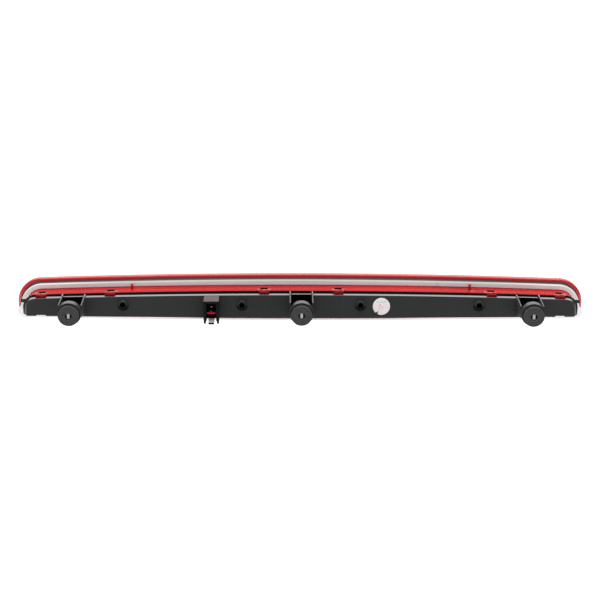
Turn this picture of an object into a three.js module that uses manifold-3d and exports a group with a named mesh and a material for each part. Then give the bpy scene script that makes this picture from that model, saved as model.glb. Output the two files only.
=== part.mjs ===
// High-mount third brake light for the top of a tailgate: a long red lens bar with a hidden rear housing.
// Millimetres. x runs along the lamp, y points out of the vehicle through the lens, z is up.
// The origin is the middle of the plane where the foam gasket meets the tailgate panel.
import * as THREE from 'three';
import { mergeVertices } from 'three/addons/utils/BufferGeometryUtils.js';
import Module from 'manifold-3d';

const wasm = await Module();
wasm.setup();

// ---------------------------------------------------------------- driving dimensions

const PLAY = 0.3; // gap kept between two pieces that touch

// Outlines seen along y. top and bottom are heights at the middle of the lamp; arch is how far the
// top edge falls towards the ends, and bulge how far the bottom edge rises towards them.
const RIM = {
  half: 291, top: 24, bottom: -23.65, topRadius: 25, bottomRadius: 10, arch: 4.9, bulge: 2.5,
};
const SKIRT = {
  half: 279, top: 17.05, bottom: -13.65, topRadius: 15, bottomRadius: 6, arch: 4.9, bulge: 3.9,
};
const FLANGE = {
  half: 281.2, top: 17.05, bottom: -10.7, topRadius: 14, bottomRadius: 2, arch: 4.6, bulge: 1.4,
};
const TRAY_FRONT = {
  half: 281, topHalf: 280.3, top: 14.55, bottom: -10.7, topRadius: 11, bottomRadius: 2,
  arch: 4.3, bulge: 1.4,
};
const TRAY_REAR = {
  half: 275.6, topHalf: 274.6, top: 14.55, bottom: -7.1, topRadius: 11, bottomRadius: 2,
  arch: 4.3, bulge: 1.4,
};

const GASKET_THICK = 4;
const FRAME_THICK = 7;
const EDGE_INSET = 2.1; // frame and gasket stop this far below the lens rim's top
const FRAME_HALF = 287.5; // they stop further inside the rim at the lamp's ends
const GASKET_HALF = 290.3; // the gasket spreads towards its lower corners
const GASKET_TOP_HALF = 286.2;
const LENS_REAR = GASKET_THICK + FRAME_THICK;
const LENS_WALL = 2.4;
const SKIRT_WALL = 2.2;
const SKIRT_REAR = -14.7;
const TONGUE_FRONT = -2;
const TRAY_START = SKIRT_REAR - PLAY;
const FLANGE_REAR = -16.2;
const TRAY_LOFT_END = -30;
const HOUSING_WALL = 2.2;
const BACK_TOP_Y = -21.65; // rear wall at the height of the tray's top
const BACK_SLOPE = 0.2127; // rear wall: y gained per mm of height

const TAB_X = [37.5, 192.5, 262]; // snap tabs, each also at -x
const TAB_WIDTH = 10;
const TAB_REAR = -20.4;
const NOTCH = { half: 5, front: -19, endTop: -4.6, middleTop: -7.7 }; // in the housing's lower edge
const HOOK_PLAY = 0.6; // housing hooks stand this far inside their windows on every side
const WINDOW = { width: 6.6, rear: -11.2, front: -7 };
const PIN_X = 171.5;
const PIN = { radius: 1.3, y: -5, top: 20.5 };

const BRACKET_X = [-229, 0, 229];
const BRACKET_NAMES = ['left', 'centre', 'right'];
const BRACKET_AXIS_Z = [6.9, 7.6, 6.9];
const RIB = { offset: 11.2, thick: 1.3, wallBottom: -5.5, cupBottom: 1.4 };
const RIB_DROP = 0.1; // rib tops lie this far below the flange's top edge
const CUP = { radius: 11.8, rear: -54.6, floorRear: -51.4, front: -47.4, wall: 1.4 };
const POCKET_FLOOR = -16.5;
const POCKET_ROOF_REAR = -19;
const POCKET_ROOF_THICK = 1.95;
const POCKET_BOTTOM = -2.6;
const EAR = { root: 276, reach: 282.9, rear: -17, bottom: 4.3, top: 7.8 };
const NUB = { radius: 0.9, height: 1.3, z: -2.4 };
const HEAD = { radius: 10.4, face: -60.2, back: -57.6, grooveBack: -55, neck: 8, hole: 3.3 };
const CENTRE_PIN = { width: 2.8, height: 5.4, tip: -59.4 };

const BOSS_PITCH = 119.4;
const BOSS_Z = 6;
const BOSS = { radius: 4.3, face: -27.8, end: -11, headSeat: -17, bore: 2.5, shankHole: 1.6 };
const SCREW = { headRadius: 2.2, headHeight: 1.7, shankRadius: 1.25, tip: -4 };

const CONNECTOR_X = -90;
const SOCKET = {
  halfWidth: 7.7, top: 14.3, bottom: -4.7, mouth: -38.5, floor: -26.7,
  openHalf: 4.7, openTop: 11.6, openBottom: -3.2,
};
const LATCH = { legInner: 5.4, legBottom: -10.6, barTop: -9.6, halfWidth: 2.85, rear: -38.3 };
const SNOUT = { half: 5.5, top: 10.5, bottom: -2.2, front: -11.2 };
const BLADE = { halfWidth: 1, halfHeight: 0.4, tip: -33, end: -8.9, z: [6.5, 1.9] };
const LOCK = {
  half: 4.3, bottom: -2.9, top: 0.6, rear: -33.8, front: -27,
  lipRear: -36.4, lipBottom: 0.2, lipTop: 1.7,
};

const LED_COUNT = 16;
const LED_PITCH = BOSS_PITCH / 4;
const LED = { width: 3.5, height: 2.8, thick: 1.9, z: 2.1 };
const BOARD = { half: 234, bottom: -4.4, top: 8.2, rear: -10.7, front: -9.1 };
const SOLDER = 0.1;
const REFLECTOR = { rear: -8.6, front: 2 };
const CELL = { rearWidth: 5.4, rearHeight: 4.8, frontWidth: 27.5, frontHeight: 10.6 };
const OPTIC = { rear: 4, front: 6.2, domeRadius: 5.6, domeHeight: 1.3 };
const SEAL = { rear: -5.2, front: -3.4, groove: 1 };
const LABEL = { x: 80.8, z: 3.7, radius: 8.7, thick: 0.3, gap: 0.12 };

const CORNER_STEPS = 8;
const EDGE_STEPS = 8;
const ROUND_SIDES = 32;

// ---------------------------------------------------------------- solids

// Turns a three.js geometry into a closed solid whose faces point out.
function solidOf(geometry) {
  const bare = geometry.clone();
  bare.deleteAttribute('normal');
  bare.deleteAttribute('uv');
  const merged = mergeVertices(bare, 1e-4);
  const at = merged.getAttribute('position').array;
  const index = merged.getIndex().array;
  const triVerts = [];
  let volume = 0;
  const corner = (i) => new THREE.Vector3().fromArray(at, 3 * i);
  for (let i = 0; i < index.length; i += 3) {
    const [a, b, c] = [index[i], index[i + 1], index[i + 2]];
    if (a === b || b === c || c === a) continue;
    triVerts.push(a, b, c);
    volume += corner(a).dot(corner(b).cross(corner(c)));
  }
  if (volume < 0) triVerts.reverse();
  const mesh = new wasm.Mesh({
    numProp: 3, vertProperties: new Float32Array(at), triVerts: new Uint32Array(triVerts),
  });
  return new wasm.Manifold(mesh);
}

function geometryOf(solid) {
  const mesh = solid.getMesh();
  const geometry = new THREE.BufferGeometry();
  geometry.setAttribute('position', new THREE.BufferAttribute(new Float32Array(mesh.vertProperties), 3));
  geometry.setIndex(new THREE.BufferAttribute(new Uint32Array(mesh.triVerts), 1));
  geometry.computeVertexNormals();
  return geometry;
}

const joined = (solids) => solids.reduce((whole, next) => whole.add(next));

function block(x0, x1, y0, y1, z0, z1) {
  const box = new THREE.BoxGeometry(x1 - x0, y1 - y0, z1 - z0);
  box.translate((x0 + x1) / 2, (y0 + y1) / 2, (z0 + z1) / 2);
  return solidOf(box);
}

// A body turned around an axis along y; profile rows are [radius, y] and begin and end on the axis.
function turned(profile, x = 0, z = 0, sides = ROUND_SIDES) {
  const points = profile.map(([radius, y]) => new THREE.Vector2(radius, y));
  return solidOf(new THREE.LatheGeometry(points, sides).translate(x, 0, z));
}

const rod = (radius, y0, y1, x, z, sides) =>
  turned([[0, y0], [radius, y0], [radius, y1], [0, y1]], x, z, sides);

// A prism along x from a polygon of [y, z] corners.
function prism(corners, x0, x1) {
  const shape = new THREE.Shape(corners.map(([y, z]) => new THREE.Vector2(y, z)));
  const body = new THREE.ExtrudeGeometry(shape, { depth: x1 - x0, bevelEnabled: false });
  const alongX = new THREE.Matrix4().makeBasis(
    new THREE.Vector3(0, 1, 0), new THREE.Vector3(0, 0, 1), new THREE.Vector3(1, 0, 0),
  );
  return solidOf(body.applyMatrix4(alongX).translate(x0, 0, 0));
}

// ---------------------------------------------------------------- long outlines

const inset = (o, d) => ({
  ...o,
  half: o.half - d,
  topHalf: (o.topHalf ?? o.half) - d,
  top: o.top - d,
  bottom: o.bottom + d,
  topRadius: Math.max(o.topRadius - d, 0.5),
  bottomRadius: Math.max(o.bottomRadius - d, 0.5),
});

function quarter(x, z, radius, start) {
  return Array.from({ length: CORNER_STEPS + 1 }, (_, i) => {
    const angle = start + (i / CORNER_STEPS) * (Math.PI / 2);
    return new THREE.Vector2(x + radius * Math.cos(angle), z + radius * Math.sin(angle));
  });
}

// Inner points of a long edge that bows by the difference between its middle and end heights.
function bowedEdge(fromX, endZ, middleZ) {
  return Array.from({ length: EDGE_STEPS - 1 }, (_, i) => {
    const t = (i + 1) / EDGE_STEPS;
    return new THREE.Vector2(fromX * (1 - 2 * t), endZ + (middleZ - endZ) * 4 * t * (1 - t));
  });
}

// The closed outline of a long bar: rounded corners, an arched top and a bottom that sags.
function barOutline(o) {
  const topHalf = o.topHalf ?? o.half;
  const topEnd = o.top - o.arch;
  const bottomEnd = o.bottom + o.bulge;
  const [tx, bx] = [topHalf - o.topRadius, o.half - o.bottomRadius];
  const [tz, bz] = [topEnd - o.topRadius, bottomEnd + o.bottomRadius];
  return [
    ...bowedEdge(-bx, bottomEnd, o.bottom),
    ...quarter(bx, bz, o.bottomRadius, -Math.PI / 2),
    ...quarter(tx, tz, o.topRadius, 0),
    ...bowedEdge(tx, topEnd, o.top),
    ...quarter(-tx, tz, o.topRadius, Math.PI / 2),
    ...quarter(-bx, bz, o.bottomRadius, Math.PI),
  ];
}

// Joins outlines with equal point counts, given as [y, points] in rising y, into one closed body.
function loft(sections) {
  const count = sections[0][1].length;
  const at = sections.flatMap(([y, points]) => points.flatMap((p) => [p.x, y, p.y]));
  const index = [];
  const cap = THREE.ShapeUtils.triangulateShape(sections[0][1], []);
  cap.forEach(([a, b, c]) => index.push(a, b, c));
  for (let ring = 0; ring < sections.length - 1; ring += 1) {
    for (let i = 0; i < count; i += 1) {
      const [a, b] = [ring * count + i, ring * count + ((i + 1) % count)];
      index.push(a, b + count, b, a, a + count, b + count);
    }
  }
  const last = (sections.length - 1) * count;
  cap.forEach(([a, b, c]) => index.push(last + a, last + c, last + b));
  const geometry = new THREE.BufferGeometry();
  geometry.setAttribute('position', new THREE.Float32BufferAttribute(at, 3));
  geometry.setIndex(index);
  return solidOf(geometry);
}

const bar = (o, y0, y1) => loft([[y0, barOutline(o)], [y1, barOutline(o)]]);

const ring = (outer, inner, y0, y1) => bar(outer, y0, y1).subtract(bar(inner, y0 - 1, y1 + 1));

const mirroredX = (list) => list.flatMap((x) => [-x, x]);

const backWallY = (z) => BACK_TOP_Y + (z - TRAY_FRONT.top) * BACK_SLOPE;

// Everything in front of the sloping rear wall, moved by shift along y.
function aheadOfBackWall(shift) {
  const [low, high, far] = [-60, 60, 60];
  const corners = [
    [backWallY(low) + shift, low], [far, low], [far, high], [backWallY(high) + shift, high],
  ];
  return prism(corners, -300, 300);
}

// ---------------------------------------------------------------- finishes

const finish = (color, roughness, metalness = 0) => () =>
  new THREE.MeshStandardMaterial({ color, roughness, metalness });

const RED_LENS = finish('#c4202c', 0.12);
const CLEAR_ACRYLIC = finish('#e6e9ea', 0.1);
const BLACK_ABS = finish('#2b2b2d', 0.5);
const BLACK_RUBBER = finish('#3a3a3b', 0.8);
const GREY_FOAM = finish('#cfcdca', 0.95);
const SILICONE = finish('#6f7478', 0.7);
const WHITE_PAPER = finish('#efeeee', 0.8);
const RED_NYLON = finish('#a01c33', 0.5);
const GREY_NYLON = finish('#a9a8aa', 0.5);
const TIN_PLATE = finish('#c9ccd0', 0.3, 1);
const ZINC_STEEL = finish('#a9adb2', 0.35, 1);
const BOARD_GREEN = finish('#1d5a38', 0.5);
const METALLISED = finish('#d8dadd', 0.12, 1);
const LED_BODY = finish('#e9e6da', 0.5);
const CHIP_BLACK = finish('#1c1c1e', 0.6);

const lamp = new THREE.Group();

function addPiece(name, solid, material, place) {
  const mesh = new THREE.Mesh(geometryOf(solid), material());
  mesh.name = name;
  if (place) mesh.position.set(...place);
  lamp.add(mesh);
  return mesh;
}

// ---------------------------------------------------------------- lens, frame and gasket

// Bands across the top of the skirt, one for every snap tab.
function tabBands(width, rear, front, grow = 0) {
  return joined(mirroredX(TAB_X).map((x) =>
    block(x - width / 2 - grow, x + width / 2 + grow, rear, front, 0, 30)));
}

function outerLens() {
  const crown = [
    [LENS_REAR, 0], [16.5, 0.15], [18.3, 0.6], [19.6, 1.8], [20.4, 4], [21.2, 9], [22.3, 17],
  ];
  const body = loft(crown.map(([y, d]) => [y, barOutline(inset(RIM, d))]));
  const skirt = bar(SKIRT, SKIRT_REAR, LENS_REAR + 1);
  const inner = inset(SKIRT, SKIRT_WALL);
  const skirtHollow = bar(inner, SKIRT_REAR - 1, LENS_REAR + LENS_WALL + 0.2);
  const hollow = [[LENS_REAR + LENS_WALL, 2.6], [17, 2.8], [18.4, 5], [19.6, 15]];
  const lensHollow = loft(hollow.map(([y, d]) => [y, barOutline(inset(RIM, d))]));
  const tabs = ring(SKIRT, inner, TAB_REAR, SKIRT_REAR + 0.5)
    .intersect(tabBands(TAB_WIDTH, TAB_REAR - 1, SKIRT_REAR + 1));
  const windows = tabBands(WINDOW.width, WINDOW.rear, WINDOW.front);
  const pins = mirroredX([PIN_X]).map((x) => {
    const pin = new THREE.CylinderGeometry(PIN.radius, PIN.radius, 6, 12);
    return solidOf(pin.rotateX(Math.PI / 2).translate(x, PIN.y, PIN.top - 3));
  });
  return body.add(skirt).subtract(skirtHollow).subtract(lensHollow)
    .subtract(windows).add(tabs)
    .add(joined(pins).subtract(skirtHollow));
}

const aroundSkirt = inset(SKIRT, -0.4);
const edgeRing = (half, topHalf, y0, y1) =>
  ring({ ...inset(RIM, EDGE_INSET), half, topHalf }, aroundSkirt, y0, y1);
const rimFrame = edgeRing(FRAME_HALF, FRAME_HALF, GASKET_THICK + 0.1, LENS_REAR - 0.1);
const foamGasket = edgeRing(GASKET_HALF, GASKET_TOP_HALF, 0, GASKET_THICK);

// ---------------------------------------------------------------- rear housing

const TONGUE = inset(SKIRT, SKIRT_WALL + PLAY);

function housingHollow() {
  const front = inset(TONGUE, HOUSING_WALL);
  const rear = {
    ...front, half: front.half - 2, topHalf: front.half - 5, bottom: front.bottom + 2.8, topRadius: 7,
  };
  const hollow = loft([[TRAY_LOFT_END, barOutline(rear)], [TRAY_START, barOutline(front)],
    [TONGUE_FRONT + 1, barOutline(front)]]);
  const pocketBacks = BRACKET_X.map((x) => {
    const reach = RIB.offset + 1;
    return block(x - reach, x + reach, TRAY_LOFT_END - 1, POCKET_FLOOR + HOUSING_WALL, -5.7, 20);
  });
  return hollow.intersect(aheadOfBackWall(HOUSING_WALL)).subtract(joined(pocketBacks));
}

// Height of an outline's arched top edge at x.
const topAt = (o, x) => o.top - o.arch * (x / (o.half - o.topRadius)) ** 2;

// A grommet arm: two side ribs and a sloping floor carry a round cup.
function bracketArm(x, axisZ) {
  const { offset, thick, wallBottom, cupBottom } = RIB;
  const top = topAt(FLANGE, x) - RIB_DROP;
  const [cupY, wallY] = [CUP.front - 0.5, BACK_TOP_Y - 2];
  const side = [
    [cupY, cupBottom], [wallY, wallBottom], [TRAY_START - 2 * PLAY, wallBottom],
    [TRAY_START - 2 * PLAY, top], [cupY, top],
  ];
  const ribs = [-offset, offset].map((dx) => prism(side, x + dx - thick / 2, x + dx + thick / 2));
  const floor = prism([
    [cupY, cupBottom], [wallY, wallBottom], [wallY, wallBottom + thick], [cupY, cupBottom + thick],
  ], x - offset, x + offset);
  const cup = rod(CUP.radius, CUP.rear, CUP.front, x, axisZ)
    .subtract(rod(CUP.radius - CUP.wall, CUP.rear - 1, CUP.floorRear, x, axisZ));
  return joined([...ribs, floor, cup]);
}

const toolNotch = (x, top) =>
  block(x - NOTCH.half, x + NOTCH.half, TRAY_LOFT_END, NOTCH.front, RIM.bottom, top);

const bossPositions = [-1.5, -0.5, 0.5, 1.5].map((i) => i * BOSS_PITCH);

function rearHousing() {
  const tray = loft([[TRAY_LOFT_END, barOutline(TRAY_REAR)], [TRAY_START, barOutline(TRAY_FRONT)]])
    .intersect(aheadOfBackWall(0))
    .add(bar(FLANGE, FLANGE_REAR, TRAY_START));
  const tongue = bar(TONGUE, TRAY_START - 0.5, TONGUE_FRONT);
  const sealGroove = ring(inset(TONGUE, -1), inset(TONGUE, SEAL.groove), SEAL.rear - 0.2, SEAL.front + 0.2);
  const hooks = bar(inset(SKIRT, HOOK_PLAY), WINDOW.rear + HOOK_PLAY, WINDOW.front - HOOK_PLAY)
    .intersect(tabBands(WINDOW.width - 2 * HOOK_PLAY, WINDOW.rear, WINDOW.front));
  const tabClearance = ring(inset(SKIRT, -2), TONGUE, TAB_REAR - PLAY, SKIRT_REAR)
    .intersect(tabBands(TAB_WIDTH, TAB_REAR - PLAY, SKIRT_REAR, PLAY));
  const pockets = BRACKET_X.flatMap((x) => [
    block(
      x - RIB.offset, x + RIB.offset, TRAY_LOFT_END - 5, POCKET_FLOOR,
      POCKET_BOTTOM, topAt(TRAY_FRONT, x) - POCKET_ROOF_THICK,
    ),
    block(x - RIB.offset, x + RIB.offset, TRAY_LOFT_END - 5, POCKET_ROOF_REAR, POCKET_BOTTOM, 20),
  ]);
  const [middleX, , endX] = TAB_X;
  const toolNotches = [
    ...mirroredX([endX]).map((x) => toolNotch(x, NOTCH.endTop)),
    ...mirroredX([middleX]).map((x) => toolNotch(x, NOTCH.middleTop)),
  ];
  const bosses = bossPositions.map((x) => rod(BOSS.radius, BOSS.face, BOSS.end, x, BOSS_Z, 20));
  const bores = bossPositions.map((x) => turned([
    [0, BOSS.face - 1], [BOSS.bore, BOSS.face - 1], [BOSS.bore, BOSS.headSeat],
    [BOSS.shankHole, BOSS.headSeat], [BOSS.shankHole, BOSS.end + 1], [0, BOSS.end + 1],
  ], x, BOSS_Z, 20));
  const nubs = mirroredX([BRACKET_X[2] - RIB.offset]).map((x) =>
    rod(NUB.radius, backWallY(NUB.z) - NUB.height, backWallY(NUB.z) + 1, x, NUB.z, 10));
  const ears = [-1, 1].map((side) => {
    const [a, b] = [side * EAR.root, side * EAR.reach];
    return block(Math.min(a, b), Math.max(a, b), EAR.rear, TRAY_START, EAR.bottom, EAR.top);
  });
  const connectorHole = block(
    CONNECTOR_X - SNOUT.half - PLAY, CONNECTOR_X + SNOUT.half + PLAY, TRAY_LOFT_END, TRAY_START,
    SNOUT.bottom - PLAY, SNOUT.top + PLAY,
  );
  return tray.add(tongue).subtract(sealGroove).subtract(tabClearance)
    .add(joined([...ears, ...nubs]))
    .subtract(housingHollow())
    .subtract(joined([...pockets, ...toolNotches, connectorHole]))
    .add(joined([...bosses, ...BRACKET_X.map((x, i) => bracketArm(x, BRACKET_AXIS_Z[i]))]))
    .add(hooks.subtract(bar(inset(TONGUE, 1), -30, 0)))
    .subtract(joined(bores));
}

// ---------------------------------------------------------------- grommets, screws, connector

const grommet = turned([
  [HEAD.hole, HEAD.face], [HEAD.radius - 1.2, HEAD.face], [HEAD.radius, HEAD.face + 0.9],
  [HEAD.radius, HEAD.back], [HEAD.neck, HEAD.back], [HEAD.neck, HEAD.grooveBack],
  [CUP.radius - CUP.wall - PLAY, HEAD.grooveBack], [CUP.radius - CUP.wall - PLAY, CUP.floorRear - PLAY],
  [HEAD.hole, CUP.floorRear - PLAY], [HEAD.hole, HEAD.face],
]);

const centrePin = block(
  -CENTRE_PIN.width / 2, CENTRE_PIN.width / 2, CENTRE_PIN.tip, CUP.floorRear - PLAY,
  -CENTRE_PIN.height / 2, CENTRE_PIN.height / 2,
);

const screwSeat = BOSS.headSeat - 0.1;
const screw = turned([
  [0, screwSeat - SCREW.headHeight], [SCREW.headRadius * 0.7, screwSeat - SCREW.headHeight],
  [SCREW.headRadius, screwSeat - SCREW.headHeight * 0.6], [SCREW.headRadius, screwSeat],
  [SCREW.shankRadius, screwSeat], [SCREW.shankRadius, SCREW.tip - 1.5], [0, SCREW.tip],
], 0, 0, 16).subtract(joined([
  block(-1.2, 1.2, screwSeat - 3, screwSeat - 0.8, -0.3, 0.3),
  block(-0.3, 0.3, screwSeat - 3, screwSeat - 0.8, -1.2, 1.2),
]));

function connectorHeader() {
  const s = SOCKET;
  const shell = block(-s.halfWidth, s.halfWidth, s.mouth, TRAY_START, s.bottom, s.top);
  const legs = [-1, 1].map((side) => {
    const [a, b] = [side * LATCH.legInner, side * s.halfWidth];
    return block(Math.min(a, b), Math.max(a, b), s.mouth, TRAY_START, LATCH.legBottom, s.bottom + 1);
  });
  const crossBar = block(-s.halfWidth, s.halfWidth, s.mouth, TRAY_START, LATCH.legBottom, LATCH.barTop);
  const ramp = prism(
    [[LATCH.rear, LATCH.barTop - 0.5], [LATCH.rear, -8.6], [-33, -5], [-28, s.bottom + 0.5], [-28, -10]],
    -LATCH.halfWidth, LATCH.halfWidth,
  );
  const outside = joined([shell, ...legs, crossBar, ramp]).subtract(aheadOfBackWall(-PLAY));
  const snout = block(-SNOUT.half, SNOUT.half, s.floor, SNOUT.front, SNOUT.bottom, SNOUT.top);
  const socketHole = block(-s.openHalf, s.openHalf, s.mouth - 1, s.floor, s.openBottom, s.openTop);
  const slots = BLADE.z.map((z) => block(
    -BLADE.halfWidth - 0.15, BLADE.halfWidth + 0.15, s.floor - 1, SNOUT.front + 1,
    z - BLADE.halfHeight - 0.15, z + BLADE.halfHeight + 0.15,
  ));
  return outside.add(snout).subtract(joined([socketHole, ...slots]));
}

const blade = prism([
  [BLADE.tip, -0.15], [BLADE.tip + 1.5, -BLADE.halfHeight], [BLADE.end, -BLADE.halfHeight],
  [BLADE.end, BLADE.halfHeight], [BLADE.tip + 1.5, BLADE.halfHeight], [BLADE.tip, 0.15],
], -BLADE.halfWidth, BLADE.halfWidth);

// The red secondary lock: a slab across the lower half of the socket with a raised lip at its mouth.
const terminalLock = block(-LOCK.half, LOCK.half, LOCK.rear, LOCK.front, LOCK.bottom, LOCK.top)
  .add(block(-LOCK.half, LOCK.half, LOCK.lipRear, LOCK.rear + 0.3, LOCK.lipBottom, LOCK.lipTop));

// ---------------------------------------------------------------- light engine

const ledPositions = Array.from({ length: LED_COUNT }, (_, i) => (i - (LED_COUNT - 1) / 2) * LED_PITCH);

function ledBoard() {
  const board = block(-BOARD.half, BOARD.half, BOARD.rear, BOARD.front, BOARD.bottom, BOARD.top);
  const screwHoles = bossPositions.map((x) => rod(1.7, BOARD.rear - 1, BOARD.front + 1, x, BOSS_Z, 12));
  const slots = BLADE.z.map((z) => block(
    CONNECTOR_X - BLADE.halfWidth - 0.15, CONNECTOR_X + BLADE.halfWidth + 0.15,
    BOARD.rear - 1, BOARD.front + 1, z - BLADE.halfHeight - 0.15, z + BLADE.halfHeight + 0.15,
  ));
  return board.subtract(joined([...screwHoles, ...slots]));
}

const rectangle = (x, z, width, height) => [
  new THREE.Vector2(x - width / 2, z - height / 2), new THREE.Vector2(x + width / 2, z - height / 2),
  new THREE.Vector2(x + width / 2, z + height / 2), new THREE.Vector2(x - width / 2, z + height / 2),
];

function reflectorStrip() {
  const outline = inset(TONGUE, HOUSING_WALL + 0.4);
  const strip = bar(outline, REFLECTOR.rear, REFLECTOR.front);
  const cells = ledPositions.map((x) => loft([
    [REFLECTOR.rear - 0.01, rectangle(x, LED.z, CELL.rearWidth, CELL.rearHeight)],
    [REFLECTOR.front + 0.01, rectangle(x, LED.z, CELL.frontWidth, CELL.frontHeight)],
  ]));
  const pilots = bossPositions.map((x) =>
    rod(SCREW.shankRadius + 0.15, REFLECTOR.rear - 1, SCREW.tip + 0.5, x, BOSS_Z, 12));
  return strip.subtract(joined([...cells, ...pilots]));
}

function innerOptic() {
  const plate = bar(inset(SKIRT, SKIRT_WALL + PLAY), OPTIC.rear, OPTIC.front);
  const { domeRadius: r, domeHeight: h, front } = OPTIC;
  const domes = ledPositions.map((x) => turned(
    [[0, front - 0.5], [r, front - 0.5], [r, front], [r * 0.66, front + h * 0.6], [0, front + h]],
    x, LED.z, 12,
  ));
  return plate.add(joined(domes));
}

const led = block(-LED.width / 2, LED.width / 2, 0, LED.thick, -LED.height / 2, LED.height / 2)
  .subtract(rod(1.05, LED.thick - 0.35, LED.thick + 1, 0, 0, 12));

const chip = (width, thick, height) => block(-width / 2, width / 2, -thick, 0, -height / 2, height / 2);

// ---------------------------------------------------------------- assembly

addPiece('outer_lens', outerLens(), RED_LENS);
addPiece('rim_frame', rimFrame, BLACK_ABS);
addPiece('foam_gasket', foamGasket, GREY_FOAM);
addPiece('rear_housing', rearHousing(), BLACK_ABS);
addPiece(
  'lens_seal',
  ring(inset(SKIRT, SKIRT_WALL + 0.1), inset(TONGUE, SEAL.groove - 0.2), SEAL.rear, SEAL.front),
  SILICONE,
);

BRACKET_X.forEach((x, i) => {
  const place = [x, 0, BRACKET_AXIS_Z[i]];
  addPiece(`mount_grommet_${BRACKET_NAMES[i]}`, grommet, BLACK_RUBBER, place);
  addPiece(`grommet_pin_${BRACKET_NAMES[i]}`, centrePin, GREY_NYLON, place);
});

bossPositions.forEach((x, i) =>
  addPiece(`housing_screw_${i + 1}`, screw, ZINC_STEEL, [x, 0, BOSS_Z]));

addPiece('connector_header', connectorHeader(), BLACK_ABS, [CONNECTOR_X, 0, 0]);
addPiece('terminal_lock', terminalLock, RED_NYLON, [CONNECTOR_X, 0, 0]);
BLADE.z.forEach((z, i) =>
  addPiece(`terminal_blade_${i + 1}`, blade, TIN_PLATE, [CONNECTOR_X, 0, z]));

addPiece('led_board', ledBoard(), BOARD_GREEN);
ledPositions.forEach((x, i) =>
  addPiece(`led_${String(i + 1).padStart(2, '0')}`, led, LED_BODY, [x, BOARD.front + SOLDER, LED.z]));

const boardRear = BOARD.rear - SOLDER;
addPiece('driver_chip', chip(5, 1.6, 4), CHIP_BLACK, [-30, boardRear, LED.z]);
addPiece('reverse_polarity_diode', chip(4.4, 2.2, 2.7), CHIP_BLACK, [-110, boardRear, LED.z]);
addPiece('smoothing_capacitor', chip(3.2, 1.8, 2.5), LED_BODY, [-20, boardRear, LED.z]);
[20, 32, 44].forEach((x, i) =>
  addPiece(`ballast_resistor_${i + 1}`, chip(6.3, 0.7, 3.2), CHIP_BLACK, [x, boardRear, LED.z]));

addPiece('reflector', reflectorStrip(), METALLISED);
addPiece('inner_optic', innerOptic(), CLEAR_ACRYLIC);

const label = addPiece(
  'inspection_label', rod(LABEL.radius, -LABEL.thick, 0, 0, 0, 40), WHITE_PAPER,
  [LABEL.x, backWallY(LABEL.z) - LABEL.gap, LABEL.z],
);
label.rotation.x = -Math.atan(BACK_SLOPE);

export default lamp;
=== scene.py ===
import math
import random

import bmesh
import bpy
from mathutils import Matrix, Vector


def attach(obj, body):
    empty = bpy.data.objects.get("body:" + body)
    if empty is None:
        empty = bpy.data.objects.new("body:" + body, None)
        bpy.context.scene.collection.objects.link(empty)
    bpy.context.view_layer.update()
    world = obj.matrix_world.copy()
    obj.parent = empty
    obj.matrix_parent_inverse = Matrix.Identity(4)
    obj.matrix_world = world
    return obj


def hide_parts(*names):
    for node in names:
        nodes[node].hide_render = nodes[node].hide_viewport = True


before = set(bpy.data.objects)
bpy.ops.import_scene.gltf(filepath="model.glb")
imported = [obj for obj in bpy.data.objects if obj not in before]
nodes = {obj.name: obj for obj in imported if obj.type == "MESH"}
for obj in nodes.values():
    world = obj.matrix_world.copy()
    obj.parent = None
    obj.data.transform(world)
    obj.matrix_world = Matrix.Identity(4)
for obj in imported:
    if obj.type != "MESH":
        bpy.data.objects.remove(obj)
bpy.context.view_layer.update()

# Sizes are in millimetres, as on the drawing, and meshes are written in metres.
# x runs along the lamp, y points out through the lens and z is up.
MM = 0.001


# ---------------------------------------------------------------- studio
# The lamp lies in mid-air over a wide white floor, seen from behind and a little above.
# A wide, soft light hangs overhead and a low softbox stands beyond the lamp, so that every
# edge that faces up carries a pale line, while the rear faces stay dark.

TILT, SWING, ROLL = math.radians(21.8), math.radians(0.8), math.radians(0.4)
DISTANCE, AIM_RIGHT, AIM_UP = 1.4227, -0.00096, 0.00074
SENSOR, FOCAL_LENGTH = 36, 83.34
FLOOR_HEIGHT, FLOOR_REACH = -0.3, 9

ahead = Vector((
    math.sin(SWING) * math.cos(TILT), math.cos(SWING) * math.cos(TILT), -math.sin(TILT),
))
right = Vector((math.cos(SWING), -math.sin(SWING), 0))
above = right.cross(ahead)
camera = bpy.data.objects.new("camera", bpy.data.cameras.new("camera"))
camera.data.sensor_width = SENSOR
camera.data.lens = FOCAL_LENGTH
turn = Matrix((right, above, -ahead)).transposed().to_4x4() @ Matrix.Rotation(ROLL, 4, "Z")
stand = -DISTANCE * ahead + AIM_RIGHT * right + AIM_UP * above
camera.matrix_world = Matrix.Translation(stand) @ turn
bpy.context.scene.collection.objects.link(camera)
bpy.context.scene.camera = camera


def softbox(name, place, width, height, power):
    """A rectangular light that faces the lamp and isn't seen itself."""
    light = bpy.data.lights.new(name, "AREA")
    light.shape = "RECTANGLE"
    light.size, light.size_y = width, height
    light.energy = power
    lamp = bpy.data.objects.new(name, light)
    lamp.location = place
    lamp.rotation_euler = (-Vector(place)).to_track_quat("-Z", "Y").to_euler()
    lamp.visible_camera = False
    bpy.context.scene.collection.objects.link(lamp)


softbox("low_softbox", (0, 1.7, 0.75), 2.6, 0.7, 12)
overhead = bpy.data.objects.new("overhead_light", bpy.data.lights.new("overhead_light", "SUN"))
overhead.data.energy = 2.1
overhead.data.angle = math.radians(55)
overhead.rotation_euler = (math.radians(-8), 0, 0)
bpy.context.scene.collection.objects.link(overhead)

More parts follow.
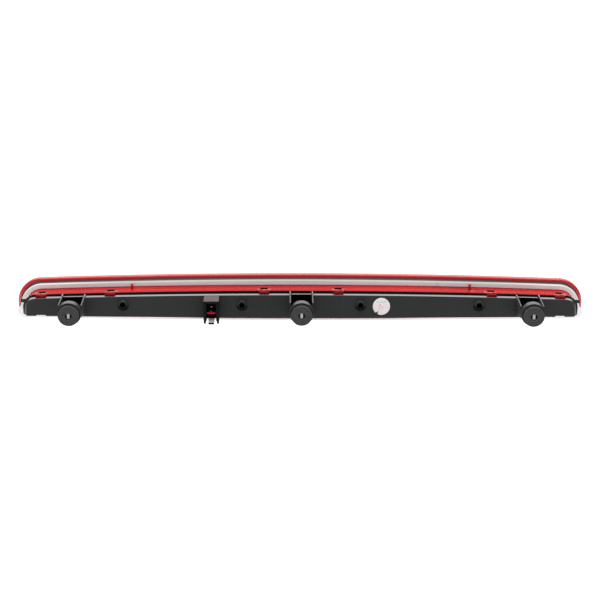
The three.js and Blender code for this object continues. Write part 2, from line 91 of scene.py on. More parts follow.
world = bpy.data.worlds.new("studio_air")
world.use_nodes = True
world.node_tree.nodes["Background"].inputs["Color"].default_value = (1, 1, 1, 1)
world.node_tree.nodes["Background"].inputs["Strength"].default_value = 0.62
bpy.context.scene.world = world
bpy.context.scene.view_settings.view_transform = "Standard"


class Field:
    """A value or colour that varies over a surface, with arithmetic on values."""

    def __init__(self, finish, socket):
        self.finish = finish
        self.socket = socket

    def maths(self, operation, *values):
        return self.finish.node("Math", {"operation": operation}, dict(enumerate(values)))

    def __add__(self, other):
        return self.maths("ADD", self, other)

    def __sub__(self, other):
        return self.maths("SUBTRACT", self, other)

    def __mul__(self, other):
        return self.maths("MULTIPLY", self, other)

    def __truediv__(self, other):
        return self.maths("DIVIDE", self, other)

    def __rsub__(self, other):
        return self.maths("SUBTRACT", other, self)

    __radd__ = __add__
    __rmul__ = __mul__

    def size(self):
        return self.maths("ABSOLUTE", self)

    def fraction(self):
        return self.maths("FRACT", self)

    def least(self, other):
        return self.maths("MINIMUM", self, other)

    def most(self, other):
        return self.maths("MAXIMUM", self, other)

    def root(self):
        return self.maths("SQRT", self)

    def step(self, low, high):
        """0 below low, 1 above high and a smooth rise between them."""
        settings = {"interpolation_type": "SMOOTHSTEP"}
        inputs = {"Value": self, "From Min": low, "From Max": high}
        return self.finish.node("MapRange", settings, inputs)

    def within(self, low, high, soft):
        """1 between low and high and 0 outside them, with soft borders."""
        return self.step(low - soft, low + soft) * (1 - self.step(high - soft, high + soft))


class Finish:
    """A material: constants on the surface shader, and fields that feed it."""

    def __init__(self, name, **constants):
        self.material = bpy.data.materials.new(name)
        self.material.use_nodes = True
        self.tree = self.material.node_tree
        self.surface = self.tree.nodes["Principled BSDF"]
        for socket, value in constants.items():
            self.surface.inputs[socket.replace("_", " ")].default_value = value
        self.place = self.node("TexCoord", {}, {}, "Object")

    def node(self, kind, settings, inputs, output=0):
        made = self.tree.nodes.new("ShaderNode" + kind)
        for name, value in settings.items():
            setattr(made, name, value)
        for socket, value in inputs.items():
            if isinstance(value, Field):
                self.tree.links.new(value.socket, made.inputs[socket])
            else:
                made.inputs[socket].default_value = value
        return Field(self, made.outputs[output])

    def axis(self, letter):
        """The place along x, y or z, in millimetres."""
        return self.node("SeparateXYZ", {}, {0: self.place}, letter) / MM

    def facing(self, letter):
        """How far the surface faces along x, y or z, from -1 to 1."""
        normal = self.node("NewGeometry", {}, {}, "Normal")
        return self.node("SeparateXYZ", {}, {0: normal}, letter)

    def cloud(self, grain, detail=3, stretch=(1, 1, 1)):
        """Soft random patches, with grain the size of one patch in millimetres."""
        place = self.node("VectorMath", {"operation": "MULTIPLY"}, {0: self.place, 1: stretch})
        inputs = {"Vector": place, "Scale": 1 / (grain * MM), "Detail": detail}
        return self.node("TexNoise", {}, inputs)

    def blend(self, factor, first, second):
        inputs = {0: factor, 6: first, 7: second}
        return self.node("Mix", {"data_type": "RGBA"}, inputs, 2)

    def feed(self, socket, field):
        self.tree.links.new(field.socket, self.surface.inputs[socket])

    def relief(self, height, depth, strength=1.0):
        """Height is 0 to 1, and depth is what 1 stands for in millimetres."""
        inputs = {"Height": height, "Distance": depth * MM, "Strength": strength}
        self.feed("Normal", self.node("Bump", {}, inputs))


studio_floor = Finish("studio_floor", Roughness=0.9)
studio_floor.feed("Base Color", studio_floor.blend(
    studio_floor.cloud(400), (0.9, 0.9, 0.9, 1), (0.93, 0.93, 0.93, 1),
))
floor_mesh = bpy.data.meshes.new("floor")
floor_corners = [(a * FLOOR_REACH, b * FLOOR_REACH, 0) for a, b in ((-1, -1), (1, -1), (1, 1), (-1, 1))]
floor_mesh.from_pydata(floor_corners, [], [(0, 1, 2, 3)])
floor_mesh.materials.append(studio_floor.material)
floor = bpy.data.objects.new("floor", floor_mesh)
floor.location.z = FLOOR_HEIGHT
bpy.context.scene.collection.objects.link(floor)


# ---------------------------------------------------------------- outer lens
# A long arched cover of red acrylic, moulded in one with the skirt that reaches through
# the panel. The skirt carries a slot and a snap tab at each clip, and two locating pins.

# Outlines seen along y: the arch is how far the top edge falls towards the ends, and the
# bulge is how far the bottom edge rises towards them.
RIM = {
    "half": 291, "top": 24, "bottom": -23.65, "top_radius": 25, "bottom_radius": 10,
    "arch": 4.9, "bulge": 2.5,
}
SKIRT = {
    "half": 279, "top": 17.05, "bottom": -13.65, "top_radius": 15, "bottom_radius": 6,
    "arch": 4.9, "bulge": 3.9,
}
CORNER_STEPS, EDGE_STEPS = 20, 72
LENS_REAR, LENS_WALL, SKIRT_WALL, SKIRT_REAR = 11, 2.4, 2.2, -14.7
DOME_RISE, DOME_SHOULDER, DOME_CROWN, DOME_INSET = 9.4, 5, 1.85, 15.5
CLEAR_FROM = LENS_REAR + 7.5
TAB_X, TAB_HALF, TAB_REAR = (37.5, 192.5, 262), 5, -20.4
WINDOW_HALF, WINDOW_REAR, WINDOW_FRONT = 3.3, -11.2, -7
LOCATING_PIN_X, LOCATING_PIN_Y, LOCATING_PIN_TOP = 171.5, -5, 20.5


def inset(outline, by):
    """The same outline drawn in on every side, with tighter corners."""
    smaller = dict(outline)
    smaller["half"] = outline["half"] - by
    smaller["top_half"] = outline.get("top_half", outline["half"]) - by
    smaller["top"] = outline["top"] - by
    smaller["bottom"] = outline["bottom"] + by
    smaller["top_radius"] = max(outline["top_radius"] - by, 0.5)
    smaller["bottom_radius"] = max(outline["bottom_radius"] - by, 0.5)
    return smaller


def outline_points(outline):
    """The [x, z] points of a long bar with round corners, an arched top and a sagging bottom."""
    top_end = outline["top"] - outline["arch"]
    bottom_end = outline["bottom"] + outline["bulge"]
    top_radius, bottom_radius = outline["top_radius"], outline["bottom_radius"]
    top_x = outline.get("top_half", outline["half"]) - top_radius
    bottom_x = outline["half"] - bottom_radius

    def corner(x, z, radius, start):
        angles = [start + math.pi / 2 * i / CORNER_STEPS for i in range(CORNER_STEPS + 1)]
        return [(x + radius * math.cos(a), z + radius * math.sin(a)) for a in angles]

    def long_edge(from_x, end_z, middle_z):
        steps = [i / EDGE_STEPS for i in range(1, EDGE_STEPS)]
        rise = middle_z - end_z
        return [(from_x * (1 - 2 * t), end_z + rise * 4 * t * (1 - t)) for t in steps]

    return [
        *long_edge(-bottom_x, bottom_end, outline["bottom"]),
        *corner(bottom_x, bottom_end + bottom_radius, bottom_radius, -math.pi / 2),
        *corner(top_x, top_end - top_radius, top_radius, 0),
        *long_edge(top_x, top_end, outline["top"]),
        *corner(-top_x, top_end - top_radius, top_radius, math.pi / 2),
        *corner(-bottom_x, bottom_end + bottom_radius, bottom_radius, math.pi),
    ]


def ring(outline, y):
    return [(x, y, z) for x, z in outline_points(outline)]


def smooth(mesh, crease):
    """Shades a mesh smooth, except along edges that are sharper than the crease in degrees."""
    mesh.polygons.foreach_set("use_smooth", [True] * len(mesh.polygons))
    mesh.set_sharp_from_angle(angle=math.radians(crease))


def placed(name, mesh, finish, crease=32):
    """Stands a mesh in the scene as an object with one finish."""
    smooth(mesh, crease)
    if finish:
        mesh.materials.append(finish.material)
    thing = bpy.data.objects.new(name, mesh)
    bpy.context.scene.collection.objects.link(thing)
    return thing


def made(name, points, faces, finish=None, crease=32):
    """A mesh object from points in millimetres."""
    mesh = bpy.data.meshes.new(name)
    mesh.from_pydata([(x * MM, y * MM, z * MM) for x, y, z in points], [], faces)
    shape = bmesh.new()
    shape.from_mesh(mesh)
    bmesh.ops.remove_doubles(shape, verts=shape.verts, dist=0.002 * MM)
    bmesh.ops.recalc_face_normals(shape, faces=shape.faces)
    shape.to_mesh(mesh)
    shape.free()
    return placed(name, mesh, finish, crease)


def skin(name, rings, finish=None, closed=False, crease=32):
    """Joins rings of equal counts. An open skin is capped at its ends, a closed one meets itself."""
    count, last = len(rings[0]), len(rings) - 1
    faces = []
    for r in range(len(rings) if closed else last):
        a, b = r * count, (r + 1) % len(rings) * count
        faces += [(a + i, a + (i + 1) % count, b + (i + 1) % count, b + i) for i in range(count)]
    if not closed:
        faces += [tuple(range(count)), tuple(range(last * count, (last + 1) * count))]
    return made(name, [p for each in rings for p in each], faces, finish, crease)


def softened(corners, reach, steps=4, ends=False):
    """A polygon with each corner turned into a small arc. With ends, it is an open line."""
    count, soft = len(corners), []
    for i, corner in enumerate(corners):
        here = Vector(corner)
        if ends and i in (0, count - 1):
            soft.append(tuple(here))
            continue
        before = Vector(corners[i - 1]) - here
        after = Vector(corners[(i + 1) % count]) - here
        a = here + before.normalized() * min(reach, before.length * 0.45)
        b = here + after.normalized() * min(reach, after.length * 0.45)
        for k in range(steps + 1):
            t = k / steps
            soft.append(tuple(a * (1 - t) ** 2 + here * (2 * t * (1 - t)) + b * t ** 2))
    return soft


def block(name, x, y, z, edge=0.35, finish=None):
    """A moulded block between pairs of limits, with rounded edges."""
    shape = bmesh.new()
    bmesh.ops.create_cube(shape, size=1)
    for vert in shape.verts:
        sides = zip((x, y, z), vert.co)
        vert.co = Vector([MM * (low if at < 0 else high) for (low, high), at in sides])
    return rounded_off(name, shape, edge, finish)


def prism(name, corners, x, edge=0.35, finish=None):
    """A prism along x from a polygon of [y, z] corners, with rounded edges."""
    shape = bmesh.new()
    for end in x:
        shape.faces.new([shape.verts.new((end * MM, b * MM, c * MM)) for b, c in corners])
    shape.verts.ensure_lookup_table()
    count = len(corners)
    for i in range(count):
        j = (i + 1) % count
        shape.faces.new([shape.verts[k] for k in (i, j, j + count, i + count)])
    return rounded_off(name, shape, edge, finish)


def rounded_off(name, shape, edge, finish):
    """Rounds every edge of a shape and stands it in the scene."""
    bmesh.ops.recalc_face_normals(shape, faces=shape.faces)
    if edge:
        bmesh.ops.bevel(
            shape, geom=shape.edges[:], offset=edge * MM, segments=3, profile=0.5, affect="EDGES",
            clamp_overlap=True,
        )
    mesh = bpy.data.meshes.new(name)
    shape.to_mesh(mesh)
    shape.free()
    return placed(name, mesh, finish)


def turned(name, profile, x=0, z=0, sides=64, closed=False, finish=None):
    """A body turned around an axis along y, from [radius, y] points."""
    angles = [2 * math.pi * i / sides for i in range(sides)]
    rings = [[(x + r * math.cos(a), y, z + r * math.sin(a)) for a in angles] for r, y in profile]
    return skin(name, rings, finish, closed)


def fused(base, added=(), removed=(), crease=32):
    """Joins the added bodies to the base and takes the removed ones out of it."""
    for operation, tools in (("UNION", added), ("DIFFERENCE", removed)):
        for tool in tools:
            step = base.modifiers.new(tool.name, "BOOLEAN")
            step.operation, step.solver, step.object = operation, "MANIFOLD", tool
    ready = base.evaluated_get(bpy.context.evaluated_depsgraph_get())
    result = bpy.data.meshes.new_from_object(ready)
    base.modifiers.clear()
    base.data = result
    smooth(result, crease)
    for tool in (*added, *removed):
        bpy.data.objects.remove(tool)
    return base


def either_side(places):
    return [side * x for x in places for side in (-1, 1)]


def around(middle, half):
    """The pair of limits at the same distance on either side of a middle."""
    return (middle - half, middle + half)


def coated(thing, *finishes):
    """Gives a finished body its materials, the first of them for all faces not told otherwise."""
    thing.data.materials.clear()
    for finish in finishes:
        thing.data.materials.append(finish.material)
    return thing


def kept(thing, slot, *stands_for):
    """The piece rides on the lamp's body and stands for its nodes."""
    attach(thing, "root")
    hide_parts(*stands_for)


red_acrylic = Finish("red_acrylic", IOR=1.49, Specular_IOR_Level=0.28)
depth_of_red = red_acrylic.cloud(70, 3, (1, 0.4, 0.4)).step(0.3, 0.72)
red_tint = red_acrylic.blend(depth_of_red, (0.43, 0.003, 0.005, 1), (0.56, 0.006, 0.008, 1))
from_middle = red_acrylic.axis("X").size()
red_depth, red_height = red_acrylic.axis("Y"), red_acrylic.axis("Z")

# Painted shade: the lower edge is dark behind the rim near the middle. Painted light:
# towards the lamp's ends the lower edge is washed pale, and so are the rim's ends.
low_edge = 1 - red_height.step(-9.2, -8)
behind_rim = low_edge * (1 - red_depth.step(6, 9))
red_tint = red_acrylic.blend(behind_rim, red_tint, (0.07, 0.012, 0.012, 1))
rim_end = from_middle.step(RIM["half"] - 7, RIM["half"] - 2) * (1 - red_height.step(-6, 8))
painted_pale_ends = rim_end.most(low_edge * from_middle.step(85, 150))
red_tint = red_acrylic.blend(painted_pale_ends * 0.7, red_tint, (0.95, 0.72, 0.74, 1))
# Painted light: the rim's rear lip is brightened to a lit red.
painted_light_lip = red_depth.within(LENS_REAR - 0.5, LENS_REAR + 1.2, 0.3)
red_tint = red_acrylic.blend(painted_light_lip * 0.6, red_tint, (0.86, 0.03, 0.035, 1))

# The skirt is in its own shade around each clip.
to_clip = (from_middle - TAB_X[0]).size()
for x in TAB_X[1:]:
    to_clip = to_clip.least((from_middle - x).size())
clip_depth = red_depth.within(WINDOW_REAR - 1, WINDOW_FRONT + 0.6, 0.3)
clip_shade = (1 - to_clip.step(4.1, 4.7)) * clip_depth
red_tint = red_acrylic.blend(clip_shade * 0.75, red_tint, (0.04, 0.001, 0.002, 1))
red_acrylic.feed("Base Color", red_tint)
red_acrylic.feed("Roughness", 0.14 + red_acrylic.cloud(3) * 0.1)
red_acrylic.relief(red_acrylic.cloud(14, 2), 0.06, 0.5)

# Painted shade: a darker, duller copy of the red acrylic for faces that stand in shade.
shaded_red_acrylic = Finish("shaded_red_acrylic", IOR=1.49, Specular_IOR_Level=0.05)
shaded_red_acrylic.feed("Base Color", shaded_red_acrylic.blend(
    shaded_red_acrylic.cloud(2.5), (0.07, 0.001, 0.002, 1), (0.20, 0.002, 0.005, 1),
))
shaded_red_acrylic.feed("Roughness", 0.5 + shaded_red_acrylic.cloud(2) * 0.2)
shaded_red_acrylic.relief(shaded_red_acrylic.cloud(2), 0.05, 0.4)

clear_red_acrylic = Finish(
    "clear_red_acrylic", Roughness=0.04, IOR=1.49, Transmission_Weight=0.86, Coat_Weight=0.1)
clear_red_acrylic.feed("Base Color", clear_red_acrylic.blend(
    clear_red_acrylic.cloud(60), (0.78, 0.010, 0.014, 1), (0.86, 0.022, 0.026, 1),
))
clear_red_acrylic.relief(clear_red_acrylic.cloud(25, 2), 0.05, 0.3)


def dome_height(d):
    """How far the cover stands in front of the rim's rear, at an inset d from its outline."""
    shoulder = min(d / DOME_SHOULDER, 1)
    crown = max(d - DOME_SHOULDER, 0) / (DOME_INSET - DOME_SHOULDER)
    return DOME_RISE * (1 - (1 - shoulder) ** 4) ** 0.25 + DOME_CROWN * (1 - (1 - crown) ** 2)


DOME_INSETS = (0.004, 0.03, 0.1, 0.25, 0.5, 0.9, 1.4, 2, 2.8, 3.8, 5, 7, 9, 11, 13, DOME_INSET)
cover = [ring(inset(RIM, d), LENS_REAR + dome_height(d)) for d in DOME_INSETS]
inside = [
    ring(inset(RIM, d + LENS_WALL), LENS_REAR + dome_height(d) - LENS_WALL)
    for d in reversed(DOME_INSETS[1:-2])
]
skirt_inner = inset(SKIRT, SKIRT_WALL)
lens = skin("red_lens", [
    *inside,
    ring(skirt_inner, LENS_REAR + LENS_WALL),
    ring(skirt_inner, SKIRT_REAR + 0.3), ring(inset(SKIRT, SKIRT_WALL - 0.3), SKIRT_REAR),
    ring(inset(SKIRT, 0.3), SKIRT_REAR), ring(inset(SKIRT, 0.08), SKIRT_REAR + 0.08),
    ring(SKIRT, SKIRT_REAR + 0.3), ring(SKIRT, LENS_REAR),
    ring(inset(RIM, 0.8), LENS_REAR), ring(inset(RIM, 0.23), LENS_REAR + 0.23),
    ring(RIM, LENS_REAR + 0.8),
    *cover,
], red_acrylic)

windows = [
    block("window", around(x, WINDOW_HALF), (WINDOW_REAR, WINDOW_FRONT), (5, 26), 0.3)
    for x in either_side(TAB_X)
]


def top_at(outline, x):
    """Height of an outline's arched top edge."""
    straight = outline["half"] - outline["top_radius"]
    return outline["top"] - outline["arch"] * (x / straight) ** 2


tabs = []
for x in either_side(TAB_X):
    top = top_at(SKIRT, x)
    inner = top - SKIRT_WALL
    side = [
        (SKIRT_REAR + 1, inner), (SKIRT_REAR + 1, top), (TAB_REAR + 0.9, top),
        (TAB_REAR, inner + 0.7), (TAB_REAR, inner),
    ]
    tabs.append(prism("tab", side, around(x, TAB_HALF), 0.3))
locating_pins = []
pin_profile = [(0.2, 15), (1.3, 15), (1.3, LOCATING_PIN_TOP), (0.2, LOCATING_PIN_TOP)]
for x in either_side([LOCATING_PIN_X]):
    pin = turned("locating_pin", softened(pin_profile, 0.6, 4, True), sides=32)
    place = Matrix.Translation((x * MM, LOCATING_PIN_Y * MM, 0))
    pin.data.transform(place @ Matrix.Rotation(math.pi / 2, 4, "X"))
    locating_pins.append(pin)
lens = fused(lens, [*tabs, *locating_pins], windows)
coated(lens, red_acrylic, clear_red_acrylic, shaded_red_acrylic)
# Faces in front take the clear red. The windows' upright faces and the tabs' rear faces take the red
# with painted shade.
for face in lens.data.polygons:
    middle = face.center / MM
    to_tab = min(abs(abs(middle.x) - x) for x in TAB_X)
    at_window = to_tab < WINDOW_HALF + 0.1 and WINDOW_REAR - 0.1 < middle.y < WINDOW_FRONT + 0.1
    upright = abs(face.normal.z) < 0.6
    if middle.y > CLEAR_FROM:
        face.material_index = 1
    elif (at_window and upright) or (to_tab < TAB_HALF and middle.y < SKIRT_REAR):
        face.material_index = 2
kept(lens, "red_lens", "outer_lens")


# ---------------------------------------------------------------- frame and gasket
# A grained black frame is bonded behind the lens rim, and a ring of closed-cell foam is
# stuck to its rear. The foam is skived from sheet and meets itself in a butt joint.

FRAME_HALF, GASKET_HALF, GASKET_TOP_HALF, RIM_STEP = 287.5, 290.3, 286.2, 2.1
GASKET_THICK = 4
JOINT_X = 139


def band(name, half, top_half, y, reach, finish):
    """A flat ring that leaves room for the skirt, with a softened rectangular section."""
    outer = {**inset(RIM, RIM_STEP), "half": half, "top_half": top_half}
    pairs = list(zip(outline_points(outer), outline_points(inset(SKIRT, -0.4))))
    section = softened([(0, y[0]), (1, y[0]), (1, y[1]), (0, y[1])], reach)
    rings = [
        [(a + (c - a) * across, depth, b + (d - b) * across) for (a, b), (c, d) in pairs]
        for across, depth in section
    ]
    return skin(name, rings, finish, True)


grained_black = Finish("grained_black", Roughness=0.5, IOR=1.46)
grained_black.feed("Base Color", grained_black.blend(
    grained_black.cloud(30), (0.012, 0.012, 0.011, 1), (0.022, 0.021, 0.020, 1),
))
grained_black.feed("Roughness", 0.46 + grained_black.cloud(2.5) * 0.2)
grained_black.relief(grained_black.cloud(0.8, 2), 0.08, 0.6)
frame_depth = (GASKET_THICK + 0.1, LENS_REAR - 0.1)
rim_frame = band("frame_ring", FRAME_HALF, FRAME_HALF, frame_depth, 0.12, grained_black)
kept(rim_frame, "black_frame", "rim_frame")

foam = Finish("closed_cell_foam", Roughness=0.95, IOR=1.4)
whiter_ends = foam.axis("X").size().step(170, 262)
foam_tint = foam.blend(foam.cloud(55), (0.80, 0.90, 0.93, 1), (0.88, 0.96, 0.98, 1))
shaded_top_faces = foam.facing("Z").step(0.5, 0.9)
pores = foam.node("TexVoronoi", {"feature": "F1"}, {"Vector": foam.place, "Scale": 1 / (0.9 * MM)})
foam_tint = foam.blend(1 - foam.axis("Z").step(-8, 2), foam_tint, (0.93, 0.89, 0.89, 1))
foam_tint = foam.blend(whiter_ends * 0.9, foam_tint, (0.98, 0.99, 0.99, 1))
# Painted shade: the foam's up-facing faces are greyer, less so towards the ends.
shaded_top_tint = foam.blend(whiter_ends * 0.7, (0.46, 0.47, 0.44, 1), (0.80, 0.78, 0.77, 1))
foam_tint = foam.blend(shaded_top_faces, foam_tint, shaded_top_tint)
foam_tint = foam.blend((1 - pores.step(0.05, 0.5)) * 0.15, foam_tint, (0.30, 0.28, 0.28, 1))
foam.feed("Base Color", foam_tint)
foam.relief(pores + foam.cloud(5) * 0.5, 0.25, 0.6)
gasket = band("foam_ring", GASKET_HALF, GASKET_TOP_HALF, (0, GASKET_THICK), 0.16, foam)
joint = block("butt_joint", around(JOINT_X, 0.25), (-1, 2.4), (10, 30), 0.05)
coated(fused(gasket, [], [joint]), foam)
kept(gasket, "foam", "foam_gasket")


# ---------------------------------------------------------------- rear housing
# One black ABS moulding. A tongue slides into the skirt, a flange covers the skirt's edge,
# and a sloping rear wall carries four screw bosses and three grommet arms with round cups.

FLANGE = {
    "half": 281.2, "top": 17.05, "bottom": -10.7, "top_radius": 14, "bottom_radius": 2,
    "arch": 4.6, "bulge": 1.4,
}
TRAY_FRONT = {
    "half": 281, "top_half": 280.3, "top": 14.55, "bottom": -10.7, "top_radius": 11,
    "bottom_radius": 2, "arch": 4.3, "bulge": 1.4,
}
TRAY_REAR = {
    "half": 275.6, "top_half": 274.6, "top": 14.55, "bottom": -7.1, "top_radius": 11,
    "bottom_radius": 2, "arch": 4.3, "bulge": 1.4,
}
TONGUE = inset(SKIRT, SKIRT_WALL + 0.3)
TONGUE_FRONT, FLANGE_FRONT, FLANGE_REAR, LOFT_END = -2, -15, -16.2, -30
INNER_FLOOR = -14.2
WALL_TOP_Y, WALL_SLOPE = -21.65, 0.2127
NOTCH_HALF, NOTCH_FRONT, MIDDLE_NOTCH_TOP, END_NOTCH_TOP = 5, -19, -7.7, -4.6
ARM_X, ARM_NAMES, ARM_AXIS_Z = (-229, 0, 229), ("left", "centre", "right"), (6.9, 7.6, 6.9)
RIB_OFFSET, RIB_HALF, RIB_DROP, RIB_FRONT, RIB_REAR = 11.2, 0.65, 0.1, -15.6, -47.8
ARM_LOW_Y, ARM_LOW_Z, ARM_HIGH_Z, ARM_FLOOR_THICK = -23.65, -5.5, 1.4, 1.3
POCKET_FLOOR, POCKET_FRONT, POCKET_OPEN, POCKET_ROOF_THICK = -2.6, -16.5, -19, 1.95
EAR_ROOT, EAR_REACH = 276, 282.9
NUB_X, NUB_Z, NUB_RADIUS, NUB_REAR = 219.7, -2.4, 0.9, -27.3
CUP_RADIUS, CUP_WALL, CUP_REAR, CUP_FLOOR, CUP_FRONT = 11.8, 1.4, -54.6, -51.4, -47.4
BOSS_PITCH, BOSS_Z, BOSS_RADIUS, BOSS_FACE, BOSS_SEAT = 119.4, 6, 4.3, -27.8, -17


def wall_y(z):
    """Where the sloping rear wall stands at a height."""
    return WALL_TOP_Y + (z - TRAY_FRONT["top"]) * WALL_SLOPE


def tray_ring(part, pull=0.0):
    """A ring of the tray, 0 at its front and 1 at the rear wall. pull draws the ring in."""
    span = LOFT_END - FLANGE_FRONT
    start = (FLANGE_REAR - FLANGE_FRONT) / span
    pairs = zip(outline_points(inset(TRAY_FRONT, pull)), outline_points(inset(TRAY_REAR, pull)))
    points = []
    for (x, z), (rear_x, rear_z) in pairs:
        at_wall = (wall_y(z) - FLANGE_FRONT) / (span - (rear_z - z) * WALL_SLOPE)
        t = start + (at_wall - start) * part
        points.append((x + (rear_x - x) * t, FLANGE_FRONT + span * t, z + (rear_z - z) * t))
    return points


def wall_ring(pull):
    """A ring on the rear wall itself, drawn in from its edge."""
    return [(x, wall_y(z), z) for x, _, z in tray_ring(1, pull)]


satin_black = Finish("satin_black", IOR=1.46, Specular_IOR_Level=0.1)
along, depth = satin_black.axis("X").size(), satin_black.axis("Y")
no_light = (0.002, 0.002, 0.002, 1)
black_tint = satin_black.blend(
    satin_black.cloud(35), (0.026, 0.027, 0.027, 1), (0.034, 0.035, 0.036, 1))
to_ends = along.step(60, 290)
black_tint = satin_black.blend(to_ends * 0.5, black_tint, (0.042, 0.042, 0.042, 1))

# Painted shade: each arm's pocket is painted black. Painted highlight: the ledge and the arms are pale
# where they face up.
from_arm = along.least((along - ARM_X[2]).size())
in_pocket = (1 - from_arm.step(RIB_OFFSET - 1.2, RIB_OFFSET - 0.4)) * depth.step(-27, -23)
black_tint = satin_black.blend(in_pocket, black_tint, no_light)
on_ledge = depth.within(FLANGE_REAR - 4.9, FLANGE_REAR - 0.9, 0.4)
on_arm = (1 - from_arm.step(12, 12.6)) * 0.38
painted_highlight_up = satin_black.facing("Z").step(0.7, 0.96) * on_ledge.most(on_arm)
black_tint = satin_black.blend(painted_highlight_up, black_tint, (0.40, 0.38, 0.40, 1))

# Painted shade blackens each boss's bore, and a painted shadow lies as a dark crescent on the wall
# below it.
from_boss = (along - BOSS_PITCH).size() - BOSS_PITCH / 2
above_boss = satin_black.axis("Z") - BOSS_Z + (depth - BOSS_FACE) * 0.4
boss_distance = (from_boss * from_boss + above_boss * above_boss).root()
crescent = (1 - boss_distance.step(5.6, 6.2)) * (1 - above_boss.step(-2.5, 1.5))
bore_mouth = 1 - boss_distance.step(2.8, 3.2)
black_tint = satin_black.blend(crescent.most(bore_mouth), black_tint, no_light)

# Painted highlight: the wall's side edges are pale. Painted shade: the face in front of the flange is
# dark.
side_edge_highlight = along.within(276.4, 277.5, 0.3) * depth.within(-30, -21, 0.5)
black_tint = satin_black.blend(side_edge_highlight * 0.7, black_tint, (0.16, 0.16, 0.16, 1))
under_skirt = depth.step(FLANGE_REAR - 0.5, FLANGE_REAR - 0.1)
black_tint = satin_black.blend(under_skirt, black_tint, (0.004, 0.004, 0.004, 1))
satin_black.feed("Base Color", black_tint)
satin_black.feed("Roughness", 0.40 + satin_black.cloud(6) * 0.16)
satin_black.relief(satin_black.cloud(0.7, 2), 0.05, 0.5)

hollow = inset(TONGUE, 2.2)
shell = skin("housing", [
    ring(inset(hollow, 0.6), INNER_FLOOR), ring(hollow, INNER_FLOOR + 0.6),
    ring(hollow, TONGUE_FRONT - 0.3),
    ring(inset(TONGUE, 1.9), TONGUE_FRONT), ring(inset(TONGUE, 0.3), TONGUE_FRONT),
    ring(TONGUE, TONGUE_FRONT - 0.3), ring(TONGUE, FLANGE_FRONT),
    ring(inset(FLANGE, 0.3), FLANGE_FRONT), ring(FLANGE, FLANGE_FRONT - 0.3),
    ring(FLANGE, FLANGE_REAR + 0.3), ring(inset(FLANGE, 0.1), FLANGE_REAR + 0.1),
    ring(inset(FLANGE, 0.3), FLANGE_REAR),
    tray_ring(0), tray_ring(0.5), tray_ring(0.93),
    tray_ring(0.98, 0.12), wall_ring(0.35), wall_ring(0.7),
], crease=28)

cuts, joins, bores = [], [], []
for x in either_side(TAB_X):
    tab_floor = top_at(SKIRT, x) - SKIRT_WALL - 0.3
    width, height = around(x, TAB_HALF + 0.4), (tab_floor, 22)
    cuts.append(block("tab_notch", width, (TAB_REAR - 0.3, -14), height, 0))
for places, notch_top, edge in (TAB_X[:1], MIDDLE_NOTCH_TOP, 0.3), (TAB_X[2:], END_NOTCH_TOP, 0.5):
    for x in either_side(places):
        width, height = around(x, NOTCH_HALF), (-20, notch_top)
        cuts.append(block("lower_notch", width, (LOFT_END, NOTCH_FRONT), height, edge))
for x, axis_z in zip(ARM_X, ARM_AXIS_Z):
    width = around(x, RIB_OFFSET)
    rib_top = top_at(FLANGE, x) - RIB_DROP
    pocket_top = top_at(TRAY_FRONT, x) - POCKET_ROOF_THICK
    beyond = LOFT_END - 5
    cuts.append(block("pocket", width, (beyond, POCKET_FRONT), (POCKET_FLOOR, pocket_top), 0.4))
    cuts.append(block("pocket_roof", width, (beyond, POCKET_OPEN), (-2, 20), 0.4))
    rib = [
        (RIB_REAR, ARM_HIGH_Z), (ARM_LOW_Y, ARM_LOW_Z), (RIB_FRONT, ARM_LOW_Z),
        (RIB_FRONT, rib_top), (RIB_REAR, rib_top),
    ]
    for offset in (-RIB_OFFSET, RIB_OFFSET):
        joins.append(prism("rib", rib, around(x + offset, RIB_HALF), 0.28))
    web = [
        (RIB_REAR - 0.1, ARM_HIGH_Z), (ARM_LOW_Y, ARM_LOW_Z),
        (ARM_LOW_Y, ARM_LOW_Z + ARM_FLOOR_THICK), (RIB_REAR - 0.1, ARM_HIGH_Z + ARM_FLOOR_THICK),
    ]
    joins.append(prism("arm_floor", web, width, 0.2))
    inner = CUP_RADIUS - CUP_WALL
    cup = softened([
        (1, CUP_FLOOR), (inner, CUP_FLOOR), (inner, CUP_REAR), (CUP_RADIUS, CUP_REAR),
        (CUP_RADIUS, CUP_FRONT), (1, CUP_FRONT),
    ], 0.5, 4, True)
    joins.append(turned("cup", cup, x, axis_z, 96))
boss_places = [(i - 1.5) * BOSS_PITCH for i in range(4)]
barrel = [(1, BOSS_FACE), (BOSS_RADIUS, BOSS_FACE), (BOSS_RADIUS, -18), (1, -18)]
bore = [
    (0.4, BOSS_FACE - 2), (3.4, BOSS_FACE - 1), (2.5, BOSS_FACE + 0.4), (2.5, BOSS_SEAT),
    (1.6, BOSS_SEAT), (1.6, -12), (0.4, -12),
]
for x in boss_places:
    joins.append(turned("boss", softened(barrel, 0.5, 4, True), x, BOSS_Z, 64))
    bores.append(turned("bore", bore, x, BOSS_Z, 48))
nub = [(0.2, NUB_REAR), (NUB_RADIUS, NUB_REAR), (NUB_RADIUS, -20), (0.2, -20)]
for side in (-1, 1):
    ends = sorted((side * EAR_ROOT, side * EAR_REACH))
    joins.append(block("ear", ends, (-17, -15.1), (4.3, 7.8), 0.5))
    joins.append(turned("nub", softened(nub, 0.4, 3, True), side * NUB_X, NUB_Z, 24))
housing = fused(fused(shell, [], cuts), joins, bores)
coated(housing, satin_black)
kept(housing, "black_housing", "rear_housing")


# ---------------------------------------------------------------- connector
# A two-way socket of black PBT stands on the rear wall. Two tin-plated blades and a red
# nylon lock sit inside it, and a latch tongue between two legs holds the plug from below.

SOCKET_X, MOUTH, SOCKET_FLOOR = -90, -38.5, -26.7
SOCKET_HALF, SOCKET_BOTTOM, SOCKET_TOP, SOCKET_OPEN_HALF, SOCKET_OPEN_TOP = 7.7, -7, 14.3, 4.8, 11.8
LOCK_HALF, BLADE_Z = 4.2, (6.5, 1.9)

